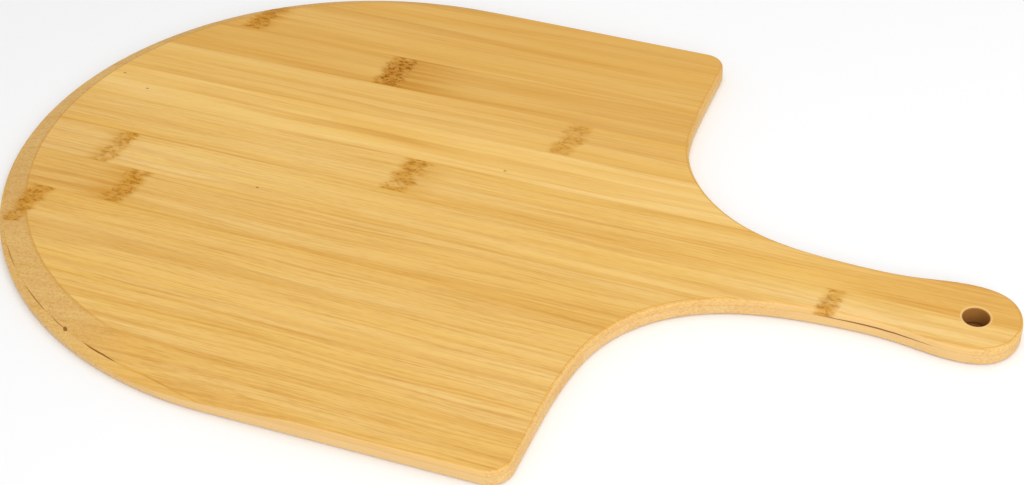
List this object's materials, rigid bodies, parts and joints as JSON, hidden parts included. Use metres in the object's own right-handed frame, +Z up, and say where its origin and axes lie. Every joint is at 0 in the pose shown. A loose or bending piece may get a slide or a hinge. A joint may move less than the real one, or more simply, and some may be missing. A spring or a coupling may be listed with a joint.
{
  "type": "pizza peel",
  "caption": "Flat bamboo pizza peel glued up from lengthwise strips, with a rounded, bevelled front and a short waisted handle with a hanging hole.",
  "frame": {"origin": "on the underside, in the middle of the board's length and width", "axes": "+X along the board to the end of the handle, +Y across the board, +Z up out of the bevelled face"},
  "size_m": [0.489, 0.305, 0.009],
  "materials": {
    "bamboo_upper": "oiled, fine lengthwise grain",
    "bamboo_lower": "oiled, fine lengthwise grain"
  },
  "bodies": {
    "root": {"lower_strip_01": "bamboo_lower", "lower_strip_02": "bamboo_lower", "lower_strip_03": "bamboo_lower", "lower_strip_04": "bamboo_lower", "lower_strip_05": "bamboo_lower", "lower_strip_06": "bamboo_lower", "lower_strip_07": "bamboo_lower", "lower_strip_08": "bamboo_lower", "lower_strip_09": "bamboo_lower", "lower_strip_10": "bamboo_lower", "lower_strip_11": "bamboo_lower", "lower_strip_12": "bamboo_lower", "upper_strip_01": "bamboo_upper", "upper_strip_02": "bamboo_upper", "upper_strip_03": "bamboo_upper", "upper_strip_04": "bamboo_upper", "upper_strip_05": "bamboo_upper", "upper_strip_06": "bamboo_upper", "upper_strip_07": "bamboo_upper", "upper_strip_08": "bamboo_upper", "upper_strip_09": "bamboo_upper", "upper_strip_10": "bamboo_upper", "upper_strip_11": "bamboo_upper", "upper_strip_12": "bamboo_upper"}
  },
  "joints": []
}
